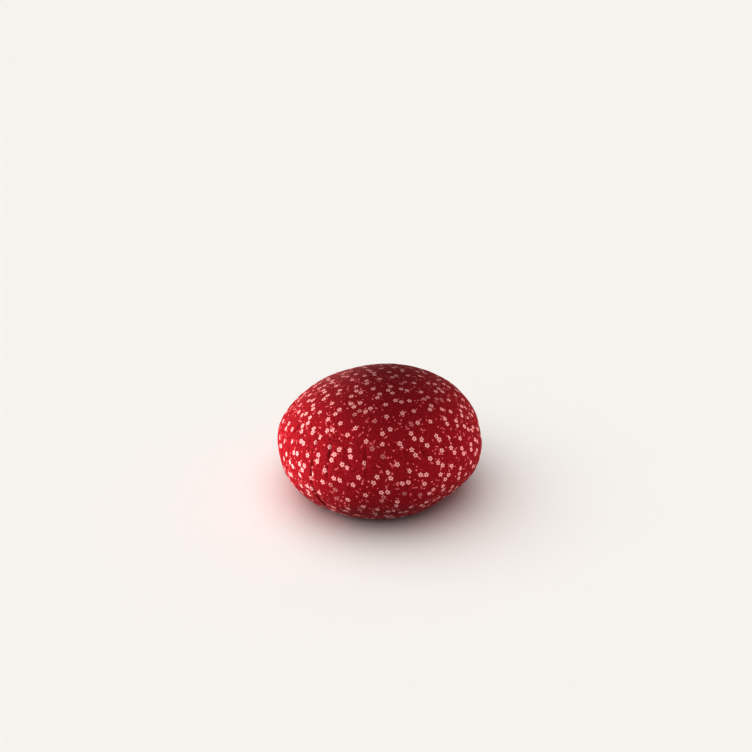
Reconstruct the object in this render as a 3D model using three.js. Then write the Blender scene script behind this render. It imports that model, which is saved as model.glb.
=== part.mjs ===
// A zafu, the round cushion for sitting meditation, as one plump filled solid in printed cotton.
// Two round panels are sewn to a pleated side band: one seam runs round the crown, one near the floor.
// Millimetres, +Z up. The origin is the middle of the foot on the floor, and the front faces -Y.
// Azimuths are in degrees about +Z, from 0 at the front (-Y) to 90 at the right (+X).
// Rises are heights above the widest ring of the cushion.

import * as THREE from 'three';
import { mergeVertices } from 'three/addons/utils/BufferGeometryUtils.js';

// The filled form: a superellipse above the widest ring and another below it, pressed flat on the floor.
const DIAMETER = 350;
const WIDEST_HEIGHT = 90;
const CROWN = { rise: 114, power: 2.06 };
const BELLY = { rise: 112.7, power: 2.14 };
const FOOT_BLEND = 10;
const SIDEWAYS_LEAN = 0.08;

// Where the filling stands proud (out above 0) or lies slack (out below 0), round one place of the form.
const SWELLS = [
  { azimuth: 90, rise: 6, out: -3.6, spread: 36 },
  { azimuth: 76, rise: -36, out: 3.4, spread: 34 },
  { azimuth: 42, rise: -44, out: -3.4, spread: 44 },
  { azimuth: -4, rise: -44, out: -1.4, spread: 50 },
  { azimuth: -33, rise: -70, out: -4.4, spread: 17 },
  { azimuth: -80, rise: -24, out: -2.8, spread: 44 },
  { azimuth: -93, rise: 22, out: 3.2, spread: 42 },
  { azimuth: -142, rise: 84, out: -3.2, spread: 64 },
];

// The seams that join the round panels to the side band.
const SEAM_RISE = 64;
const SEAM_DEPTH = 2;
const SEAM_HALF_ANGLE = 2;

// The pleats of the side band: every one is tucked in at both seams and slants as it runs down.
// They all lie one way, so a crease drops steeply from the lip on its left and rises slowly on its right.
const PLEATS = 34;
const FIRST_PLEAT_AZIMUTH = -36.7;
const PLEAT_SLANT = 0.09;
const TUCK_DEPTH = 1.8;
const TUCK_REACH = 22;
const SEWN_REACH = 9;
const CREASE_FADE = 12;
const LIP_WIDTH = 2.2;
const SLOPE_WIDTH = 9;

// The creases that the filling has not smoothed out, counted in pleats round from the first.
const CREASES = [
  { pleat: 0, top: 46, bottom: -64, depth: 5.0 },
  { pleat: 1, top: 60, bottom: 16, depth: 3.2 },
  { pleat: 3, top: 34, bottom: -42, depth: 1.8 },
  { pleat: 5, top: 16, bottom: -28, depth: 1.8 },
  { pleat: 8, top: 58, bottom: 8, depth: 2.2 },
  { pleat: 11, top: 30, bottom: -64, depth: 3.4 },
  { pleat: 12, top: 12, bottom: -60, depth: 2.0 },
  { pleat: 15, top: 60, bottom: -20, depth: 3.0 },
  { pleat: 18, top: 24, bottom: -40, depth: 1.8 },
  { pleat: 20, top: 54, bottom: -64, depth: 4.2 },
  { pleat: 23, top: 38, bottom: -16, depth: 2.0 },
  { pleat: 26, top: 10, bottom: -64, depth: 3.0 },
  { pleat: 29, top: 60, bottom: 4, depth: 2.4 },
  { pleat: 31, top: 26, bottom: -48, depth: 2.0 },
];

// The mesh: rows up the profile, and columns that gather at the creases.
const ROW_STEP = 7.5;
const COLUMNS_PER_PLEAT = 5;
const COLUMN_GATHER = 0.6;
const MERGE_DISTANCE = 1e-3;

const RADIUS = DIAMETER / 2;
const PITCH = 360 / PLEATS;

// Lifts what would sink under the floor on to it, with a rounded turn where the belly meets the foot.
function restOnFloor(height) {
  const nearness = Math.max(FOOT_BLEND - Math.abs(height), 0) / FOOT_BLEND;
  return Math.max(height, 0) + (FOOT_BLEND * nearness ** 2) / 4;
}

function halfAt(rise) {
  return rise > 0 ? CROWN : BELLY;
}

function reachAtRise(rise) {
  const half = halfAt(rise);
  return RADIUS * (1 - (Math.abs(rise) / half.rise) ** half.power) ** (1 / half.power);
}

// Angles run up the profile in degrees, from -90 at the bottom through 0 at the widest ring to 90 at the top.
function riseAtAngle(angle) {
  const half = halfAt(angle);
  const sine = Math.abs(Math.sin(THREE.MathUtils.degToRad(angle)));
  return Math.sign(angle) * half.rise * sine ** (2 / half.power);
}

function angleAtRise(rise) {
  const half = halfAt(rise);
  const sine = (Math.abs(rise) / half.rise) ** (half.power / 2);
  return Math.sign(rise) * THREE.MathUtils.radToDeg(Math.asin(sine));
}

function profilePoint(angle) {
  const rise = riseAtAngle(angle);
  return new THREE.Vector2(reachAtRise(rise), restOnFloor(WIDEST_HEIGHT + rise));
}

// Half profile from the middle of the foot to the top: even rows, with three close ones at each seam.
function cushionProfile() {
  const footAngle = angleAtRise(-WIDEST_HEIGHT - FOOT_BLEND);
  const seamAngles = [angleAtRise(-SEAM_RISE), angleAtRise(SEAM_RISE)];
  const angles = [footAngle];
  for (const seam of seamAngles) {
    angles.push(seam - SEAM_HALF_ANGLE, seam, seam + SEAM_HALF_ANGLE);
  }
  const clearOfOthers = (angle) => angles.every((other) => Math.abs(other - angle) > ROW_STEP / 4);
  const evenAngles = [];
  for (let angle = ROW_STEP - 90; angle < 90; angle += ROW_STEP) {
    if (angle > footAngle && clearOfOthers(angle)) {
      evenAngles.push(angle);
    }
  }
  const rows = [...angles, ...evenAngles].sort((a, b) => a - b);
  const foot = new THREE.Vector2(0, 0);
  const top = new THREE.Vector2(0, WIDEST_HEIGHT + CROWN.rise);
  return [foot, ...rows.map(profilePoint), top];
}

// 1 between the two ends and 0 beyond them, with a soft edge at each end.
function between(value, low, high, edge) {
  const rising = THREE.MathUtils.smoothstep(value, low - edge, low + edge);
  return rising * (1 - THREE.MathUtils.smoothstep(value, high - edge, high + edge));
}

// How far the crease of one pleat is drawn in at a rise. It is sewn flat at the seams.
function creaseDepth(pleat, rise) {
  const toSeam = Math.max(SEAM_RISE - Math.abs(rise), 0);
  const tuck = TUCK_DEPTH * Math.max(1 - toSeam / TUCK_REACH, 0);
  const crease = CREASES.find((row) => row.pleat === pleat);
  const kept = crease ? crease.depth * between(rise, crease.bottom, crease.top, CREASE_FADE) : 0;
  return (tuck + kept) * THREE.MathUtils.smoothstep(toSeam, 0, SEWN_REACH);
}

// How far a point of the side band is drawn in, by its place across the pleats.
function pleatDepth(turn, rise) {
  const place = THREE.MathUtils.euclideanModulo(turn, PLEATS);
  const nearest = Math.round(place);
  const across = (place - nearest) * THREE.MathUtils.degToRad(PITCH) * RADIUS;
  const width = across < 0 ? LIP_WIDTH : SLOPE_WIDTH;
  return creaseDepth(nearest % PLEATS, rise) * Math.exp(-((across / width) ** 2));
}

function seamDepth(rise) {
  return Math.abs(Math.abs(rise) - SEAM_RISE) < MERGE_DISTANCE ? SEAM_DEPTH : 0;
}

// A point on the even form, before the pleats, seams and swells.
function formPoint(azimuth, reach, rise) {
  const radians = THREE.MathUtils.degToRad(azimuth);
  return new THREE.Vector3(reach * Math.sin(radians), -reach * Math.cos(radians), rise);
}

// The middle of each swell on the even form.
const swellCentres = SWELLS.map(({ azimuth, rise }) => formPoint(azimuth, reachAtRise(rise), rise));

// How far the swells push a point out.
function swellOut(point) {
  return SWELLS.reduce((sum, swell, i) => {
    const away = point.distanceTo(swellCentres[i]) / swell.spread;
    return sum + swell.out * Math.exp(-(away ** 2));
  }, 0);
}

// Moves the even columns of the turned form towards the creases.
function gatherColumns(turn) {
  const wave = Math.sin(2 * Math.PI * turn) / (2 * Math.PI);
  return turn - COLUMN_GATHER * wave;
}

function shapePoint(point) {
  const rise = point.z - WIDEST_HEIGHT;
  const reach = Math.hypot(point.x, point.y);
  const azimuth = THREE.MathUtils.radToDeg(Math.atan2(point.x, -point.y));
  const turn = gatherColumns(azimuth / PITCH);
  const slant = -PLEAT_SLANT * THREE.MathUtils.clamp(rise, -SEAM_RISE, SEAM_RISE);
  const placed = formPoint(FIRST_PLEAT_AZIMUTH + turn * PITCH + slant, reach, rise);
  const out = swellOut(placed) - pleatDepth(turn, rise) - seamDepth(rise);
  const onFoot = point.z < MERGE_DISTANCE;
  placed.setLength(placed.length() + (onFoot ? 0 : out));
  point.set(placed.x + SIDEWAYS_LEAN * placed.z, placed.y, placed.z + WIDEST_HEIGHT);
}

function cushionGeometry() {
  const turned = new THREE.LatheGeometry(cushionProfile(), PLEATS * COLUMNS_PER_PLEAT);
  turned.rotateX(Math.PI / 2);
  turned.deleteAttribute('normal');
  turned.deleteAttribute('uv');
  const geometry = mergeVertices(turned, MERGE_DISTANCE);
  const positions = geometry.getAttribute('position');
  const point = new THREE.Vector3();
  for (let i = 0; i < positions.count; i += 1) {
    point.fromBufferAttribute(positions, i);
    shapePoint(point);
    positions.setXYZ(i, point.x, point.y, point.z);
  }
  geometry.computeVertexNormals();
  return geometry;
}

const printedCotton = new THREE.MeshStandardMaterial({ color: '#a5182a', roughness: 0.85, metalness: 0 });

const cushion = new THREE.Mesh(cushionGeometry(), printedCotton);
cushion.name = 'zafu_cushion';

const zafu = new THREE.Group();
zafu.add(cushion);

export default zafu;
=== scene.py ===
"""A zafu in red printed cotton: two round panels sewn to a pleated side band, over a firm filling.

Metres, +Z up, front towards -Y. Azimuths are in degrees about +Z, from 0 at the front to 90 at the right.
Rises are heights above the widest ring. Arcs run down the profile, from the middle of the top.
"""

import math
from collections import namedtuple

import bpy
import numpy as np
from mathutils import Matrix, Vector, noise


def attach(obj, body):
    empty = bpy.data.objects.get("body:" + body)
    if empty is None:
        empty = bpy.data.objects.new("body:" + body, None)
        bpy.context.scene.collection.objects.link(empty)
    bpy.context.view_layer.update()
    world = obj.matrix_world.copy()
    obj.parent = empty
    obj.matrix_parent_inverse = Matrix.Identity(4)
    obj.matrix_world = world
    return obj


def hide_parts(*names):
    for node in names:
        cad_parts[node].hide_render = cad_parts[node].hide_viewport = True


NODE = "zafu_cushion"

# The filled form: a superellipse above the widest ring and another below it, pressed flat on the floor.
RADIUS = 0.175
WIDEST_HEIGHT = 0.090
CROWN_RISE = 0.114
CROWN_POWER = 2.06
BELLY_RISE = 0.1127
BELLY_POWER = 2.14
FOOT_BLEND = 0.010
SIDEWAYS_LEAN = 0.08
FOOT_TOLERANCE = 1e-6
PROFILE_STEPS = 4001

# Where the filling stands proud (out above 0) or lies slack (out below 0).
Swell = namedtuple("Swell", "azimuth rise out spread")
SWELLS = (
    Swell(90, 0.006, -0.0036, 0.036),
    Swell(76, -0.036, 0.0034, 0.034),
    Swell(42, -0.044, -0.0034, 0.044),
    Swell(-4, -0.044, -0.0014, 0.050),
    Swell(-33, -0.070, -0.0044, 0.017),
    Swell(-80, -0.024, -0.0028, 0.044),
    Swell(-93, 0.022, 0.0032, 0.042),
    Swell(-142, 0.084, -0.0032, 0.064),
)

# The seams, and the pleats of the side band, which are tucked in at both seams and slant as they run down.
SEAM_RISE = 0.064
SEAM_DEPTH = 0.0011
SEAM_WIDTH = 0.0016
PLEATS = 34
PITCH = math.tau / PLEATS
PLEAT_WIDTH = PITCH * RADIUS
FIRST_PLEAT_AZIMUTH = -36.7
PLEAT_SLANT = 90
TUCK_DEPTH = 0.0014
TUCK_UNEVENNESS = 0.6
TUCK_BEAT = 2.4
TUCK_REACH = 0.024
SEWN_REACH = 0.009
CREASE_FADE = 0.012
LIP_WIDTH = 0.0010
SLOPE_WIDTH = 0.0036
LIP_RAISE = 0.25
LIP_PLACE = -0.0045
LIP_SPREAD = 0.004

# The creases that the filling has not smoothed out, counted in pleats round from the first.
# A crease may lie a little to the right of its pleat (shift), lean (right per rise)
# and bow (right per rise squared).
Crease = namedtuple("Crease", "pleat top bottom depth shift lean bow")
CREASES = (
    Crease(-2, 0.020, -0.022, 0.0008, 0.0, 0.0, 0.0),
    Crease(0, 0.034, -0.060, 0.0014, -0.0019, 0.076, 2.1),
    Crease(0.26, 0.054, 0.030, 0.0006, 0.0, 0.0, 0.0),
    Crease(1, 0.052, 0.008, 0.0011, -0.0035, 0.07, 0.0),
    Crease(3, 0.050, -0.040, 0.0007, -0.0059, 0.19, -1.2),
    Crease(5, 0.016, -0.028, 0.0007, 0.0, 0.0, 0.0),
    Crease(8, 0.058, 0.008, 0.0012, 0.0, 0.03, 0.0),
    Crease(11, 0.030, -0.064, 0.0022, 0.0, 0.0, 0.6),
    Crease(12, 0.012, -0.060, 0.0014, 0.0, 0.05, 0.0),
    Crease(15, 0.060, -0.020, 0.0020, 0.0, 0.0, 0.0),
    Crease(18, 0.024, -0.040, 0.0012, 0.0, -0.06, 0.0),
    Crease(20, 0.054, -0.064, 0.0028, 0.0, 0.0, 0.8),
    Crease(23, 0.038, -0.016, 0.0014, 0.0, 0.08, 0.0),
    Crease(26, 0.010, -0.064, 0.0020, 0.0, 0.0, -0.5),
    Crease(29, 0.060, 0.004, 0.0016, 0.0, 0.0, 0.0),
    Crease(31, 0.026, -0.048, 0.0012, 0.0, 0.05, 0.0),
)

# The filling presses the cover out from a slightly smaller start.
# A point ends within the free play of the form.
SLACK = 0.0025
PRESSURE = 15
CLOTH_GROWTH = 0.015
POINT_MASS = 0.001
SETTLE_FRAMES = 20
SEAM_HOLD = 0.003
LIGHTEST_HOLD = 0.02
FREE_PLAY = 0.003
LEAST_MOVE = 1e-9

# Small unevenness of the filled cloth: how far it goes in or out, and over what distance.
Ripple = namedtuple("Ripple", "out length")
RIPPLES = (Ripple(0.0007, 0.040), Ripple(0.0003, 0.014))

# The mesh before it is subdivided once: rings of each round panel, and rows of the side band.
# A ring of a panel has four sides, and each side has two points more than in the ring inside.
PANEL_SIDES = 4
SIDE_GROWTH = 2
RING_GROWTH = PANEL_SIDES * SIDE_GROWTH
RINGS = 34
COLUMNS = RING_GROWTH * RINGS
BAND_ROWS = 36
ROW_GATHER = 0.6
COLUMN_GATHER = 0.6
RIM_GATHER_POWER = 8
QUAD_CORNERS = 4
TOP_PANEL, SIDE_BAND, BOTTOM_PANEL = range(3)

# Where each piece of cloth was cut from the print, and the layout that finishes are stored by.
TOP_CUT = (0.90, 0.43)
BOTTOM_CUT = (2.31, 1.72)
BAND_CUT = (0.0, 3.10)
BAKE_SIDE = 0.66
BAKE_MARGIN = 0.006

# The print lies turned on the cloth, in degrees, and its edges are slightly uneven.
PRINT_TURN = 27
FRAY_SCALE = 900
FRAY_SHIFT = 0.0008

# Sprays of one, two or three blossoms. Leans and the third one's turn are in degrees.
# Here and below, a step is where a soft edge starts and where it ends.
BLOSSOM_RADIUS = 0.0042
BLOSSOM_SPACING = 0.0235
BLOSSOM_SCATTER = 0.5
PAIR_DISTANCE = 0.0096
PAIR_CHANCE = 0.47
PAIR_LEANS = (-125, 35)
THIRD_CHANCE = 0.10
THIRD_TURN = 105
BLOSSOM_TURN_RADIANS = 40.0
FADED_STEP = (0.955, 0.965)
FADED_TONE = 0.45

# One blossom, with lengths in shares of its radius.
PETALS = 5
PETAL_MIDDLE = 0.62
PETAL_HALF_LENGTH = 0.37
PETAL_HALF_WIDTH = 0.34
PETAL_STEP = (0.88, 1.12)
MIDDLE_STEP = (0.26, 0.36)
HEART_STEP = (0.16, 0.32)
HEART_TONE = 0.9

# Dots, which gather in clusters, and loose petals between the blossoms.
SMALL_SCATTER = 0.9
DOT_SPACING = 0.0070
DOT_RADII = (0.0009, 0.0018)
DOT_STEP = (0.8, 1.2)
CLUSTER_LENGTH = 0.022
CLUSTER_STEP = (0.42, 0.62)
CLUSTER_CHANCES = (0.06, 0.55)
LOOSE_SPACING = 0.0185
LOOSE_HALF_LENGTH = 0.0036
LOOSE_HALF_WIDTH = 0.0014
LOOSE_CHANCE = 0.55
LOOSE_STEP = (0.8, 1.15)
LOOSE_TONE = 0.7

# The cotton: thick threads both ways, a mottle, a crinkle and the weave.
RED_DEEP = (0.19, 0.0055, 0.012, 1)
RED_BRIGHT = (0.54, 0.023, 0.039, 1)
PETAL_PALE = (0.98, 0.52, 0.50, 1)
PETAL_PINK = (0.84, 0.24, 0.24, 1)
HEART_DARK = (0.24, 0.035, 0.030, 1)
SLUB_LENGTH = 0.0060
SLUB_STRETCH = 9.0
SLUB_SHARE = 0.3
MOTTLE_LENGTH = 0.0034
MOTTLE_SHARE = 0.4
UNEVEN_STEP = (0.33, 0.67)
ROUGHNESS_STEP = (0.2, 0.8)
ROUGHNESS = (0.95, 0.82)
CRINKLE_LENGTH = 0.0042
CRINKLE_DETAIL = 3.0
CRINKLE_HEIGHT = 0.0018
CRINKLE_STRENGTH = 0.6
THREAD_PITCH = 0.00045
WEAVE_HEIGHT = 0.00006
WEAVE_STRENGTH = 0.5
SPECULAR = 0.06
SHEEN = 0.07
SHEEN_ROUGHNESS = 0.4
SHEEN_TINT = (1.0, 0.8, 0.75, 1.0)

# The studio: softboxes that light the cover alone, and a sun that lights the floor alone.
Softbox = namedtuple("Softbox", "name azimuth elevation width height power")
SOFTBOXES = (
    Softbox("key", -85, 2, 1.1, 0.5, 50.0),
    Softbox("key_front", -48, 1, 0.8, 0.6, 6.5),
    Softbox("fill", 66, 2, 0.8, 0.5, 15.5),
    Softbox("fill_high", 35, 35, 0.8, 0.8, 5.0),
    Softbox("back", -162, 1, 0.8, 0.6, 8.0),
    Softbox("back_right", 130, 1, 0.8, 0.6, 4.0),
)
SOFTBOX_COLOUR = (1, 0.99, 0.98)
LAMP_DISTANCE = 1.5
FLOOR_COLOUR = (0.9, 0.883, 0.855, 1)
FLOOR_RADIUS = 40
FLOOR_CORNERS = 96
FLOOR_SUN_COLOUR = (1, 1, 1)
FLOOR_SUN_POWER = 2.54
FLOOR_SUN_SPREAD = 100
FLOOR_SUN_AZIMUTH = -70
FLOOR_SUN_ELEVATION = 72
ROOM_LOW = (0.04, 0.04, 0.04, 1)
ROOM_HIGH = (0.28, 0.28, 0.28, 1)
ROOM_STEP = (-0.2, 0.3)
BACKDROP_COLOUR = (0.9355, 0.921, 0.889, 1)
CONTRAST_GAMMA = 0.75

CAMERA_PLACE = (-0.0062, -1.0739, 0.6731)
CAMERA_TILT = 66.44
CAMERA_LENS = 33.70
SENSOR_WIDTH = 36


def smoothstep(value, low, high):
    part = np.clip((value - low) / (high - low), 0, 1)
    return part * part * (3 - 2 * part)


def rest_on_floor(height):
    """Lifts what would sink under the floor on to it, with a rounded turn where the belly meets the foot."""
    nearness = np.maximum(FOOT_BLEND - np.abs(height), 0) / FOOT_BLEND
    return np.maximum(height, 0) + FOOT_BLEND * nearness**2 / 4


class Profile:
    """The half profile from the middle of the top to the middle of the foot, read by arc."""

    def __init__(self):
        angle = np.radians(np.linspace(90, -90, PROFILE_STEPS))
        power = np.where(angle > 0, CROWN_POWER, BELLY_POWER)
        half_rise = np.where(angle > 0, CROWN_RISE, BELLY_RISE)
        full_rise = np.sign(angle) * half_rise * np.abs(np.sin(angle)) ** (2 / power)
        self.reaches = RADIUS * np.abs(np.cos(angle)) ** (2 / power)
        self.rises = rest_on_floor(WIDEST_HEIGHT + full_rise) - WIDEST_HEIGHT
        steps = np.hypot(np.diff(self.reaches), np.diff(self.rises))
        self.arcs = np.concatenate(([0], np.cumsum(steps)))
        self.length = self.arcs[-1]
        self.top_seam = self.arc_at(SEAM_RISE)
        self.bottom_seam = self.arc_at(-SEAM_RISE)

    def arc_at(self, rise):
        return np.interp(-rise, -self.rises, self.arcs)

    def reach(self, arc):
        return np.interp(arc, self.arcs, self.reaches)

    def rise(self, arc):
        return np.interp(arc, self.arcs, self.rises)


def form_points(azimuth, reach, rise):
    """Points of the even form about the middle of the widest ring."""
    return np.stack((reach * np.sin(azimuth), -reach * np.cos(azimuth), rise), axis=-1)


def swell_out(points, profile):
    out = np.zeros(len(points))
    for swell in SWELLS:
        reach = profile.reach(profile.arc_at(swell.rise))
        centre = form_points(math.radians(swell.azimuth), reach, swell.rise)
        away = np.linalg.norm(points - centre, axis=1) / swell.spread
        out += swell.out * np.exp(-(away**2))
    return out


def place_points(turn, arc, profile):
    """Points of the filled form, by pleats round from the first and by arc."""
    rise = profile.rise(arc)
    slant = -PLEAT_SLANT * np.clip(rise, -SEAM_RISE, SEAM_RISE)
    azimuth = np.radians(FIRST_PLEAT_AZIMUTH + slant) + turn * PITCH
    points = form_points(azimuth, profile.reach(arc), rise)
    off_foot = rise > -WIDEST_HEIGHT + FOOT_TOLERANCE
    out = np.where(off_foot, swell_out(points, profile), 0)
    points *= (1 + out / np.linalg.norm(points, axis=1))[:, None]
    points[:, 0] += SIDEWAYS_LEAN * points[:, 2]
    points[:, 2] += WIDEST_HEIGHT
    return points


def gather_columns(turn, share):
    return turn - COLUMN_GATHER * share * np.sin(math.tau * turn) / math.tau


def panel_points():
    """Each point of a round panel, ring by ring: pleats round from the first, and share of the radius."""
    turns = [np.zeros(1)]
    shares = [np.zeros(1)]
    for ring in range(1, RINGS + 1):
        share = ring / RINGS
        count = RING_GROWTH * ring
        even = np.arange(count) * PLEATS / count
        turns.append(gather_columns(even, share**RIM_GATHER_POWER))
        eased = share + ROW_GATHER * math.sin(math.pi * share) / math.pi
        shares.append(np.full(count, eased))
    return np.concatenate(turns), np.concatenate(shares)


def ring_start(ring):
    """The index of a ring's first point, after the one in the middle and the rings inside."""
    return 1 + RING_GROWTH * ring * (ring - 1) // 2 if ring else 0


def panel_faces():
    """Quads of a round panel, one at each corner of a ring and the others along its sides."""
    faces = []
    for ring in range(1, RINGS + 1):
        inner, outer = ring_start(ring - 1), ring_start(ring)
        inner_side, outer_side = SIDE_GROWTH * (ring - 1), SIDE_GROWTH * ring
        inner_count, outer_count = max(PANEL_SIDES * inner_side, 1), PANEL_SIDES * outer_side
        for side in range(PANEL_SIDES):
            corner_in = inner + (side * inner_side) % inner_count
            corner = side * outer_side
            before = outer + (corner - 1) % outer_count
            faces.append((corner_in, before, outer + corner, outer + corner + 1))
            for step in range(inner_side):
                left = side * inner_side + step
                right = (left + 1) % inner_count
                out_left = outer + corner + step + 1
                out_right = outer + (corner + step + 2) % outer_count
                faces.append((inner + left, out_left, out_right, inner + right))
    return np.array(faces)


def band_faces(first_row, inside, last_row):
    """Quads of the side band: its first row, the start of its inside rows, and its last row."""
    starts = [first_row] + [inside + row * COLUMNS for row in range(BAND_ROWS - 1)] + [last_row]
    column = np.arange(COLUMNS)
    after = (column + 1) % COLUMNS
    rows = []
    for above, below in zip(starts, starts[1:]):
        rows.append(np.stack((above + column, below + column, below + after, above + after), axis=1))
    return np.concatenate(rows)


def cushion_mesh(profile):
    """The filled form as a closed mesh. Its cloth map holds flat panels, and the band by turn and arc."""
    panel_turn, panel_share = panel_points()
    faces_of_panel = panel_faces()
    count = len(panel_turn)
    share = np.arange(1, BAND_ROWS) / BAND_ROWS
    eased = share - ROW_GATHER * np.sin(math.tau * share) / math.tau
    band_arc = profile.top_seam + eased * (profile.bottom_seam - profile.top_seam)
    band_turn = gather_columns(np.arange(COLUMNS) * PLEATS / COLUMNS, 1)
    bottom_length = profile.length - profile.bottom_seam
    turn = np.concatenate((panel_turn, panel_turn, np.tile(band_turn, BAND_ROWS - 1)))
    arc = np.concatenate((
        panel_share * profile.top_seam,
        profile.length - panel_share * bottom_length,
        np.repeat(band_arc, COLUMNS),
    ))
    rim = ring_start(RINGS)
    band = band_faces(rim, 2 * count, count + rim)
    faces = np.concatenate((faces_of_panel, band, count + faces_of_panel[:, ::-1]))
    face_counts = (len(faces_of_panel), len(band), len(faces_of_panel))
    cut = np.repeat((TOP_PANEL, SIDE_BAND, BOTTOM_PANEL), face_counts)

    mesh = bpy.data.meshes.new("zafu_cover")
    mesh.from_pydata(place_points(turn, arc, profile).tolist(), [], faces.tolist())
    mesh.attributes.new("cut", "INT", "FACE").data.foreach_set("value", cut.astype(np.int32))
    face_turn = turn[faces]
    wrapped = face_turn.max(axis=1, keepdims=True) - face_turn > PLEATS / 2
    band_place = np.stack((face_turn + PLEATS * wrapped, arc[faces]), axis=-1)
    flat_radius = np.where(cut[:, None] == BOTTOM_PANEL, profile.length - arc[faces], arc[faces])
    angle = face_turn * PITCH
    flat_place = np.stack((flat_radius * np.sin(angle), -flat_radius * np.cos(angle)), axis=-1)
    place = np.where(cut[:, None, None] == SIDE_BAND, band_place, flat_place)
    mesh.uv_layers.new(name="cloth").data.foreach_set("uv", place.astype(np.float32).ravel())
    mesh.validate()
    return mesh


def apply_modifiers(piece):
    depsgraph = bpy.context.evaluated_depsgraph_get()
    finished = bpy.data.meshes.new_from_object(piece.evaluated_get(depsgraph))
    piece.modifiers.clear()
    piece.data = finished


def read_corners(mesh):
    """Of every face corner: its point, the piece of cloth that it is on, and its place on that cloth."""
    point = np.empty(len(mesh.loops), np.int32)
    mesh.loops.foreach_get("vertex_index", point)
    cut = np.empty(len(mesh.polygons), np.int32)
    mesh.attributes["cut"].data.foreach_get("value", cut)
    place = np.empty(2 * len(mesh.loops), np.float32)
    mesh.uv_layers["cloth"].data.foreach_get("uv", place)
    return point, np.repeat(cut, QUAD_CORNERS), place.reshape(-1, 2).astype(float)


def turn_and_arc(cut, place, profile):
    """Pleats round from the first and arc of face corners."""
    flat = np.hypot(place[:, 0], place[:, 1])
    flat_turn = np.arctan2(place[:, 0], -place[:, 1]) / PITCH
    flat_arc = np.where(cut == TOP_PANEL, flat, profile.length - flat)
    turn = np.where(cut == SIDE_BAND, place[:, 0], flat_turn)
    arc = np.where(cut == SIDE_BAND, place[:, 1], flat_arc)
    return turn, arc


def point_places(mesh, profile):
    """Of every point: pleats round from the first, arc, and whether it is on the side band."""
    corner_point, cut, place = read_corners(mesh)
    corner_turn, corner_arc = turn_and_arc(cut, place, profile)
    count = len(mesh.vertices)
    turn, arc, on_band = np.zeros(count), np.zeros(count), np.zeros(count, bool)
    turn[corner_point] = corner_turn
    arc[corner_point] = corner_arc
    on_band[corner_point[cut == SIDE_BAND]] = True
    return turn, arc, on_band


def read_points(mesh):
    points, normals = np.empty(3 * len(mesh.vertices)), np.empty(3 * len(mesh.vertices))
    mesh.vertices.foreach_get("co", points)
    mesh.vertex_normals.foreach_get("vector", normals)
    return points.reshape(-1, 3), normals.reshape(-1, 3)


def write_points(mesh, points):
    mesh.vertices.foreach_set("co", points.ravel())
    mesh.update()


def between(value, low, high, edge):
    """1 between the two ends and 0 beyond them, with a soft edge at each end."""
    rising = smoothstep(value, low - edge, low + edge)
    return rising * (1 - smoothstep(value, high - edge, high + edge))


def fold_out(across, depth):
    """A fold that drops steeply from the lip on its left and rises slowly on its right."""
    width = np.where(across < 0, LIP_WIDTH, SLOPE_WIDTH)
    drawn_in = np.exp(-((across / width) ** 2))
    lip = LIP_RAISE * np.exp(-(((across - LIP_PLACE) / LIP_SPREAD) ** 2))
    return depth * (lip - drawn_in)


def pleat_out(turn, rise):
    """How far the tucks at the seams and the creases move the side band."""
    below_seam = np.maximum(SEAM_RISE - np.abs(rise), 0)
    pleat = np.round(turn) % PLEATS
    uneven = 1 + TUCK_UNEVENNESS * np.sin(TUCK_BEAT * pleat)
    tuck = TUCK_DEPTH * uneven * np.maximum(1 - below_seam / TUCK_REACH, 0)
    out = fold_out((turn - np.round(turn)) * PLEAT_WIDTH, tuck)
    for crease in CREASES:
        turns_away = (turn - crease.pleat + PLEATS / 2) % PLEATS - PLEATS / 2
        across = turns_away * PLEAT_WIDTH - (crease.shift + crease.lean * rise + crease.bow * rise**2)
        out += fold_out(across, crease.depth * between(rise, crease.bottom, crease.top, CREASE_FADE))
    return out * smoothstep(below_seam, 0, SEWN_REACH)


def to_seam(arc, profile):
    return np.minimum(np.abs(arc - profile.top_seam), np.abs(arc - profile.bottom_seam))


def seam_out(arc, profile):
    """The groove along each seam."""
    return -SEAM_DEPTH * np.exp(-((to_seam(arc, profile) / SEAM_WIDTH) ** 2))


def ripple_out(points):
    out = np.zeros(len(points))
    for ripple in RIPPLES:
        out += [ripple.out * noise.noise(Vector(point) / ripple.length) for point in points]
    return out


def settle(cover, profile):
    """Lets the filling press the cover out from a smaller start, held along the seams and on the foot."""
    mesh = cover.data
    _, arc, _ = point_places(mesh, profile)
    form, normals = read_points(mesh)
    held = np.exp(-((to_seam(arc, profile) / SEAM_HOLD) ** 2))
    held = np.maximum(held, 1 - smoothstep(form[:, 2], 0, FOOT_BLEND))
    group = cover.vertex_groups.new(name="held")
    for index in np.flatnonzero(held > LIGHTEST_HOLD):
        group.add([int(index)], held[index], "REPLACE")
    write_points(mesh, form - normals * (SLACK * (1 - held))[:, None])

    cloth = cover.modifiers.new("filling", "CLOTH")
    cloth.settings.mass = POINT_MASS
    cloth.settings.shrink_min = -CLOTH_GROWTH
    cloth.settings.use_pressure = True
    cloth.settings.uniform_pressure_force = PRESSURE
    cloth.settings.vertex_group_mass = group.name
    cloth.settings.effector_weights.gravity = 0
    scene = bpy.context.scene
    for frame in range(1, SETTLE_FRAMES + 1):
        scene.frame_set(frame)
    apply_modifiers(cover)
    scene.frame_set(1)
    settled, _ = read_points(cover.data)
    moved = settled - form
    length = np.linalg.norm(moved, axis=1, keepdims=True)
    write_points(cover.data, form + moved * np.minimum(FREE_PLAY / np.maximum(length, LEAST_MOVE), 1))
    cover.vertex_groups.clear()


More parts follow.
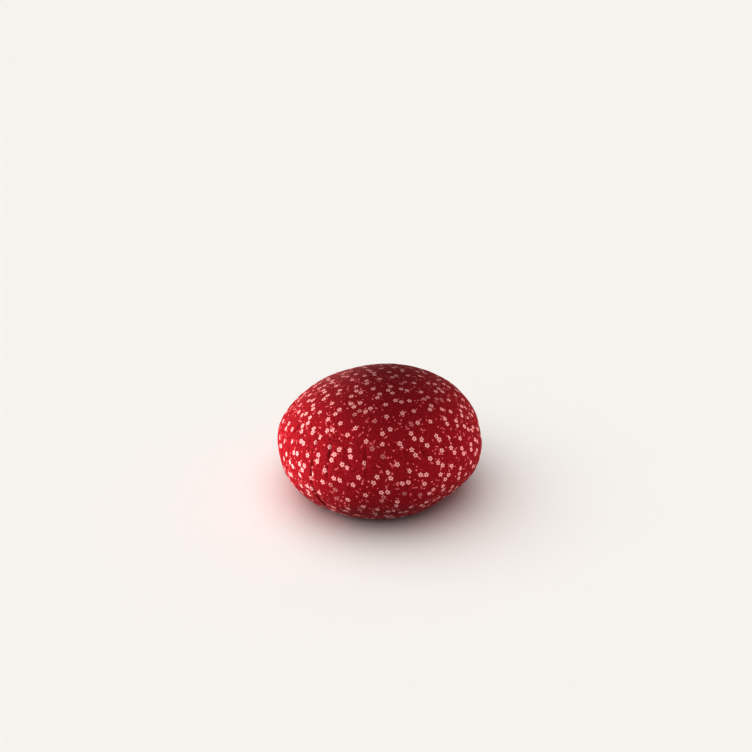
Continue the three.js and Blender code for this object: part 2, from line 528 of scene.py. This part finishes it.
def sew(mesh, profile):
    """Draws the creases, seams and small unevenness into the subdivided cover."""
    turn, arc, on_band = point_places(mesh, profile)
    points, normals = read_points(mesh)
    rise = profile.rise(arc)
    out = np.where(on_band, pleat_out(turn, rise), 0) + seam_out(arc, profile) + ripple_out(points)
    out *= smoothstep(points[:, 2], 0, FOOT_BLEND)
    points += out[:, None] * normals
    points[:, 2] = np.maximum(points[:, 2], 0)
    write_points(mesh, points)


def corner_pleats(turn):
    """Of every face corner: the pleat that its face lies in."""
    face_turn = turn.reshape(-1, QUAD_CORNERS).mean(axis=1)
    return np.repeat(np.floor(face_turn), QUAD_CORNERS)


def lay_print(mesh, profile):
    """The map that lays the print, in metres of cloth. Each pleat of the band starts a full pitch on."""
    _, cut, place = read_corners(mesh)
    turn, arc = turn_and_arc(cut, place, profile)
    pleat = corner_pleats(turn)
    along = pleat * PLEAT_WIDTH + (turn - pleat) * PITCH * profile.reach(arc)
    band = np.stack((along, -arc), axis=1) + BAND_CUT
    cut_from = np.where((cut == TOP_PANEL)[:, None], TOP_CUT, BOTTOM_CUT)
    printed = np.where((cut == SIDE_BAND)[:, None], band, place + cut_from)
    mesh.uv_layers.new(name="print").data.foreach_set("uv", printed.astype(np.float32).ravel())


def lay_out(mesh, profile):
    """The even layout that finishes are stored by: the panels side by side, and the band in two strips."""
    _, cut, place = read_corners(mesh)
    turn, arc = turn_and_arc(cut, place, profile)
    top_radius = profile.top_seam
    bottom_radius = profile.length - profile.bottom_seam
    half_turn = PLEATS / 2
    strip = (corner_pleats(turn) >= half_turn).astype(int)
    band_width = profile.bottom_seam - profile.top_seam
    strip_top = 2 * top_radius + 2 * BAKE_MARGIN + strip * (band_width + BAKE_MARGIN)
    band_u = BAKE_MARGIN + (turn - strip * half_turn) * PLEAT_WIDTH
    band_layout = np.stack((band_u, strip_top + arc - profile.top_seam), axis=1)
    top_layout = place + (BAKE_MARGIN + top_radius, BAKE_MARGIN + top_radius)
    bottom_u = 2 * BAKE_MARGIN + 2 * top_radius + bottom_radius
    bottom_layout = place + (bottom_u, BAKE_MARGIN + bottom_radius)
    layout = np.where((cut == TOP_PANEL)[:, None], top_layout, bottom_layout)
    layout = np.where((cut == SIDE_BAND)[:, None], band_layout, layout) / BAKE_SIDE
    mesh.uv_layers.new(name="OFBake").data.foreach_set("uv", layout.astype(np.float32).ravel())


class Sums:
    """Writes arithmetic as nodes of one shader tree. Values are numbers, vectors or output sockets."""

    def __init__(self, tree):
        self.tree = tree

    def node(self, kind, **settings):
        made = self.tree.nodes.new("ShaderNode" + kind)
        for name, value in settings.items():
            setattr(made, name, value)
        return made

    def feed(self, socket, value):
        if isinstance(value, bpy.types.NodeSocket):
            self.tree.links.new(value, socket)
        else:
            socket.default_value = value

    def math(self, operation, *values):
        made = self.node("Math", operation=operation)
        for socket, value in zip(made.inputs, values):
            self.feed(socket, value)
        return made.outputs[0]

    def vector(self, operation, *values):
        made = self.node("VectorMath", operation=operation)
        for socket, value in zip(made.inputs, values):
            self.feed(socket, value)
        return made.outputs["Value" if operation == "LENGTH" else "Vector"]

    def scaled(self, vector, scale):
        made = self.node("VectorMath", operation="SCALE")
        self.feed(made.inputs[0], vector)
        self.feed(made.inputs["Scale"], scale)
        return made.outputs["Vector"]

    def turned(self, vector, angle):
        made = self.node("VectorRotate", rotation_type="Z_AXIS")
        self.feed(made.inputs["Vector"], vector)
        self.feed(made.inputs["Angle"], angle)
        return made.outputs[0]

    def split(self, vector):
        made = self.node("SeparateXYZ")
        self.feed(made.inputs[0], vector)
        return made.outputs

    def join(self, x, y):
        made = self.node("CombineXYZ")
        self.feed(made.inputs[0], x)
        self.feed(made.inputs[1], y)
        return made.outputs[0]

    def fade(self, value, low, high, to_low=0.0, to_high=1.0):
        """A soft step from to_low, where value is low, to to_high, where it is high."""
        made = self.node("MapRange", interpolation_type="SMOOTHSTEP")
        for socket, number in zip(made.inputs, (value, low, high, to_low, to_high)):
            self.feed(socket, number)
        return made.outputs[0]

    def scale_range(self, value, low, high, to_low, to_high):
        made = self.node("MapRange")
        for socket, number in zip(made.inputs, (value, low, high, to_low, to_high)):
            self.feed(socket, number)
        return made.outputs[0]

    def mix(self, share, first, second):
        """A mix of two colours, by the sockets that the node keeps for colours."""
        made = self.node("Mix", data_type="RGBA")
        sockets = (made.inputs[0], made.inputs[6], made.inputs[7])
        for socket, value in zip(sockets, (share, first, second)):
            self.feed(socket, value)
        return made.outputs[2]

    def largest(self, *values):
        result = values[0]
        for value in values[1:]:
            result = self.math("MAXIMUM", result, value)
        return result

    def clouds(self, vector, length, detail=2.0):
        """Soft noise from 0 to 1, with lumps of about the given length."""
        made = self.node("TexNoise")
        self.feed(made.inputs["Vector"], vector)
        made.inputs["Scale"].default_value = 1 / length
        made.inputs["Detail"].default_value = detail
        return made.outputs["Fac"]

    def cells(self, vector, length, randomness, feature="F1"):
        """The way from the nearest scattered point, or the second nearest, and that point's three chances."""
        made = self.node("TexVoronoi", voronoi_dimensions="2D", feature=feature)
        self.feed(made.inputs["Vector"], vector)
        made.inputs["Scale"].default_value = 1 / length
        made.inputs["Randomness"].default_value = randomness
        way = self.vector("SUBTRACT", vector, made.outputs["Position"])
        return way, made.outputs["Color"]

    def bump(self, height, distance, strength, normal=None):
        made = self.node("Bump")
        made.inputs["Strength"].default_value = strength
        made.inputs["Distance"].default_value = distance
        self.feed(made.inputs["Height"], height)
        if normal is not None:
            self.feed(made.inputs["Normal"], normal)
        return made.outputs[0]

    def use(self, group, *values):
        made = self.node("Group", node_tree=group)
        for socket, value in zip(made.inputs, values):
            self.feed(socket, value)
        return made.outputs


def new_group(name, inputs, outputs):
    """An empty group of shader nodes. Returns its tree, its input sockets and its output sockets."""
    tree = bpy.data.node_groups.new(name, "ShaderNodeTree")
    for socket_name, kind in inputs:
        tree.interface.new_socket(socket_name, in_out="INPUT", socket_type="NodeSocket" + kind)
    for socket_name in outputs:
        tree.interface.new_socket(socket_name, in_out="OUTPUT", socket_type="NodeSocketFloat")
    entry = tree.nodes.new("NodeGroupInput")
    leave = tree.nodes.new("NodeGroupOutput")
    return tree, entry.outputs, leave.inputs


def blossom_group():
    """One blossom of round petals with a dark heart."""
    tree, entry, leave = new_group("blossom", (("Way", "Vector"), ("Turn", "Float")), ("Petals", "Heart"))
    sums = Sums(tree)
    way = sums.scaled(entry["Way"], 1 / BLOSSOM_RADIUS)
    x, y, _ = sums.split(way)
    away = sums.vector("LENGTH", way)
    angle = sums.math("ADD", sums.math("ARCTAN2", y, x), entry["Turn"])
    folded = sums.math("WRAP", angle, math.pi / PETALS, -math.pi / PETALS)
    along = sums.math("MULTIPLY", away, sums.math("COSINE", folded))
    across = sums.math("MULTIPLY", away, sums.math("SINE", folded))
    petal_along = sums.math("DIVIDE", sums.math("SUBTRACT", along, PETAL_MIDDLE), PETAL_HALF_LENGTH)
    petal_across = sums.math("DIVIDE", across, PETAL_HALF_WIDTH)
    petal = sums.vector("LENGTH", sums.join(petal_along, petal_across))
    shape = sums.fade(petal, *PETAL_STEP, 1.0, 0.0)
    middle = sums.fade(away, *MIDDLE_STEP, 1.0, 0.0)
    sums.feed(leave["Petals"], sums.largest(shape, middle))
    sums.feed(leave["Heart"], sums.fade(away, *HEART_STEP, 1.0, 0.0))
    return tree


def spray_group(blossom):
    """One, two or three blossoms that touch, by chance."""
    inputs = (("Way", "Vector"), ("Chances", "Vector"))
    tree, entry, leave = new_group("spray", inputs, ("Petals", "Heart", "Tone"))
    sums = Sums(tree)
    first, second, third = sums.split(entry["Chances"])
    leans = [math.radians(PRINT_TURN + lean) for lean in PAIR_LEANS]
    lean = sums.scale_range(third, 0.0, 1.0, *leans)
    step = sums.scaled(sums.join(sums.math("COSINE", lean), sums.math("SINE", lean)), PAIR_DISTANCE)
    turned = sums.math("ADD", lean, math.radians(THIRD_TURN))
    side_step = sums.scaled(sums.join(sums.math("COSINE", turned), sums.math("SINE", turned)), PAIR_DISTANCE)
    one = sums.vector("ADD", entry["Way"], sums.scaled(step, 0.5))
    two = sums.vector("SUBTRACT", one, step)
    three = sums.vector("SUBTRACT", two, side_step)
    has_two = sums.math("LESS_THAN", first, PAIR_CHANCE)
    has_three = sums.math("MULTIPLY", has_two, sums.math("LESS_THAN", second, THIRD_CHANCE))
    petals, hearts = [], []
    present = (1.0, has_two, has_three)
    chances = (first, second, third)
    for way, there, chance in zip((one, two, three), present, chances):
        made = sums.use(blossom, way, sums.math("MULTIPLY", chance, BLOSSOM_TURN_RADIANS))
        petals.append(sums.math("MULTIPLY", made["Petals"], there))
        hearts.append(sums.math("MULTIPLY", made["Heart"], there))
    sums.feed(leave["Petals"], sums.largest(*petals))
    sums.feed(leave["Heart"], sums.largest(*hearts))
    sums.feed(leave["Tone"], sums.fade(second, *FADED_STEP, 1.0, FADED_TONE))
    return tree


def frayed(sums, cloth):
    """The print's own map: turned on the cloth, with slightly uneven edges."""
    fray = sums.node("TexNoise", noise_dimensions="2D")
    fray.inputs["Scale"].default_value = FRAY_SCALE
    sums.feed(fray.inputs["Vector"], cloth)
    shift = sums.scaled(sums.vector("SUBTRACT", fray.outputs["Color"], (0.5, 0.5, 0.5)), FRAY_SHIFT)
    return sums.turned(sums.vector("ADD", cloth, shift), math.radians(PRINT_TURN))


def sprays(sums, printed):
    """How far petals and hearts cover the cloth, from the two nearest sprays."""
    spray = spray_group(blossom_group())
    petals, hearts = [], []
    for feature in ("F1", "F2"):
        way, chances = sums.cells(printed, BLOSSOM_SPACING, BLOSSOM_SCATTER, feature)
        made = sums.use(spray, way, chances)
        petals.append(sums.math("MULTIPLY", made["Petals"], made["Tone"]))
        hearts.append(made["Heart"])
    return sums.largest(*petals), sums.largest(*hearts)


def dots(sums, printed):
    way, chances = sums.cells(printed, DOT_SPACING, SMALL_SCATTER)
    chance, size, _ = sums.split(chances)
    cluster = sums.fade(sums.clouds(printed, CLUSTER_LENGTH), *CLUSTER_STEP, *CLUSTER_CHANCES)
    radius = sums.scale_range(size, 0.0, 1.0, *DOT_RADII)
    dot = sums.fade(sums.math("DIVIDE", sums.vector("LENGTH", way), radius), *DOT_STEP, 1.0, 0.0)
    return sums.math("MULTIPLY", dot, sums.math("LESS_THAN", chance, cluster))


def loose_petals(sums, printed):
    way, chances = sums.cells(printed, LOOSE_SPACING, SMALL_SCATTER)
    chance, lean, _ = sums.split(chances)
    x, y, _ = sums.split(sums.turned(way, sums.math("MULTIPLY", lean, math.tau)))
    along = sums.math("DIVIDE", x, LOOSE_HALF_LENGTH)
    across = sums.math("DIVIDE", y, LOOSE_HALF_WIDTH)
    petal = sums.vector("LENGTH", sums.join(along, across))
    there = sums.math("LESS_THAN", chance, LOOSE_CHANCE)
    return sums.math("MULTIPLY", sums.fade(petal, *LOOSE_STEP, LOOSE_TONE, 0.0), there)


def thread_unevenness(sums, cloth):
    """Thick and thin threads along and across the cloth, and a mottle."""
    weft = sums.clouds(sums.vector("MULTIPLY", cloth, (1.0, SLUB_STRETCH, 1.0)), SLUB_LENGTH)
    warp = sums.clouds(sums.vector("MULTIPLY", cloth, (SLUB_STRETCH, 1.0, 1.0)), SLUB_LENGTH)
    slub = sums.math("ADD", sums.math("MULTIPLY", weft, SLUB_SHARE), sums.math("MULTIPLY", warp, SLUB_SHARE))
    mottle = sums.clouds(cloth, MOTTLE_LENGTH)
    return sums.math("ADD", slub, sums.math("MULTIPLY", mottle, MOTTLE_SHARE))


def woven_normal(sums, cloth):
    """The crinkle of the cloth with its weave on top."""
    x, y, _ = sums.split(cloth)
    threads = math.tau / THREAD_PITCH
    warp = sums.math("SINE", sums.math("MULTIPLY", x, threads))
    weft = sums.math("SINE", sums.math("MULTIPLY", y, threads))
    crinkle = sums.clouds(cloth, CRINKLE_LENGTH, CRINKLE_DETAIL)
    crinkled = sums.bump(crinkle, CRINKLE_HEIGHT, CRINKLE_STRENGTH)
    return sums.bump(sums.math("MULTIPLY", warp, weft), WEAVE_HEIGHT, WEAVE_STRENGTH, crinkled)


def printed_cotton():
    """Red cotton with a scattered print of small pale blossoms, dots and loose petals."""
    material = bpy.data.materials.new("printed_cotton")
    material.use_nodes = True
    tree = material.node_tree
    shader = tree.nodes["Principled BSDF"]
    sums = Sums(tree)
    cloth = sums.node("UVMap", uv_map="print").outputs[0]
    printed = frayed(sums, cloth)
    petals, hearts = sprays(sums, printed)
    uneven = thread_unevenness(sums, cloth)
    red = sums.mix(sums.fade(uneven, *UNEVEN_STEP), RED_DEEP, RED_BRIGHT)
    with_loose = sums.mix(loose_petals(sums, printed), red, PETAL_PINK)
    with_dots = sums.mix(dots(sums, printed), with_loose, PETAL_PINK)
    with_petals = sums.mix(petals, with_dots, PETAL_PALE)
    colour = sums.mix(sums.math("MULTIPLY", hearts, HEART_TONE), with_petals, HEART_DARK)
    sums.feed(shader.inputs["Base Color"], colour)
    sums.feed(shader.inputs["Roughness"], sums.fade(uneven, *ROUGHNESS_STEP, *ROUGHNESS))
    sums.feed(shader.inputs["Normal"], woven_normal(sums, cloth))
    shader.inputs["Specular IOR Level"].default_value = SPECULAR
    shader.inputs["Sheen Weight"].default_value = SHEEN
    shader.inputs["Sheen Roughness"].default_value = SHEEN_ROUGHNESS
    shader.inputs["Sheen Tint"].default_value = SHEEN_TINT
    return material


def pale_floor():
    material = bpy.data.materials.new("pale_floor")
    material.use_nodes = True
    shader = material.node_tree.nodes["Principled BSDF"]
    shader.inputs["Base Color"].default_value = FLOOR_COLOUR
    shader.inputs["Roughness"].default_value = 1.0
    shader.inputs["Specular IOR Level"].default_value = 0.0
    bpy.ops.mesh.primitive_circle_add(vertices=FLOOR_CORNERS, radius=FLOOR_RADIUS, fill_type="NGON")
    floor = bpy.context.object
    floor.name = "floor"
    floor.data.materials.append(material)
    floor.visible_diffuse = False
    return floor


def direction(azimuth, elevation):
    azimuth, elevation = math.radians(azimuth), math.radians(elevation)
    level = math.cos(elevation)
    return Vector((level * math.sin(azimuth), -level * math.cos(azimuth), math.sin(elevation)))


def aim(lamp, azimuth, elevation):
    """Stands a lamp off the middle of the cushion and turns it to face it."""
    towards = direction(azimuth, elevation)
    lamp.location = Vector((0, 0, WIDEST_HEIGHT)) + towards * LAMP_DISTANCE
    lamp.rotation_euler = towards.to_track_quat("Z", "Y").to_euler()


def light_only(lamp, lit):
    receivers = bpy.data.collections.new(lamp.name + "_lights")
    receivers.objects.link(lit)
    lamp.light_linking.receiver_collection = receivers


def add_lamp(name, kind, power, colour):
    data = bpy.data.lights.new(name, kind)
    data.energy = power
    data.color = colour
    lamp = bpy.data.objects.new(name, data)
    bpy.context.scene.collection.objects.link(lamp)
    return lamp


def add_lamps(cover, floor):
    for box in SOFTBOXES:
        lamp = add_lamp(box.name, "AREA", box.power, SOFTBOX_COLOUR)
        lamp.data.shape = "RECTANGLE"
        lamp.data.size = box.width
        lamp.data.size_y = box.height
        aim(lamp, box.azimuth, box.elevation)
        light_only(lamp, cover)
    sun = add_lamp("floor_light", "SUN", FLOOR_SUN_POWER, FLOOR_SUN_COLOUR)
    sun.data.angle = math.radians(FLOOR_SUN_SPREAD)
    aim(sun, FLOOR_SUN_AZIMUTH, FLOOR_SUN_ELEVATION)
    light_only(sun, floor)


def add_room():
    """Soft light from all round, brighter from above, and an even pale backdrop."""
    world = bpy.data.worlds.new("studio")
    bpy.context.scene.world = world
    world.use_nodes = True
    sums = Sums(world.node_tree)
    dim = world.node_tree.nodes["Background"]
    height = sums.split(sums.node("TexCoord").outputs["Generated"])["Z"]
    sums.feed(dim.inputs["Color"], sums.mix(sums.fade(height, *ROOM_STEP), ROOM_LOW, ROOM_HIGH))
    pale = sums.node("Background")
    pale.inputs["Color"].default_value = BACKDROP_COLOUR
    chosen = sums.node("MixShader")
    sums.feed(chosen.inputs[0], sums.node("LightPath").outputs["Is Camera Ray"])
    sums.feed(chosen.inputs[1], dim.outputs[0])
    sums.feed(chosen.inputs[2], pale.outputs[0])
    sums.feed(world.node_tree.nodes["World Output"].inputs["Surface"], chosen.outputs[0])


def add_camera():
    camera = bpy.data.objects.new("camera", bpy.data.cameras.new("camera"))
    camera.data.lens = CAMERA_LENS
    camera.data.sensor_width = SENSOR_WIDTH
    camera.location = CAMERA_PLACE
    camera.rotation_euler = (math.radians(CAMERA_TILT), 0, 0)
    bpy.context.scene.collection.objects.link(camera)
    bpy.context.scene.camera = camera


def zafu_cover():
    profile = Profile()
    cover = bpy.data.objects.new("zafu_cover", cushion_mesh(profile))
    bpy.context.scene.collection.objects.link(cover)
    settle(cover, profile)
    cover.modifiers.new("smooth", "SUBSURF").levels = 1
    apply_modifiers(cover)
    sew(cover.data, profile)
    lay_print(cover.data, profile)
    lay_out(cover.data, profile)
    cover.data.shade_smooth()
    cover.data.materials.append(printed_cotton())
    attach(cover, "root")
    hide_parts(NODE)
    return cover


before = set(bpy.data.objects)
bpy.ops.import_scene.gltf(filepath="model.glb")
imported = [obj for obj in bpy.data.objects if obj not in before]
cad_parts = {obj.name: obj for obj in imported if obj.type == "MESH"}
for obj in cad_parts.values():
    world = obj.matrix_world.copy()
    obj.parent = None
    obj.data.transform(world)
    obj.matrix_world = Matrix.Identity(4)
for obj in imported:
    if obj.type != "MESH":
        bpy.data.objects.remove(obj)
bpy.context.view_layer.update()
bpy.context.scene.view_settings.view_transform = "Standard"
bpy.context.scene.view_settings.gamma = CONTRAST_GAMMA
cover = zafu_cover()
add_lamps(cover, pale_floor())
add_room()
add_camera()
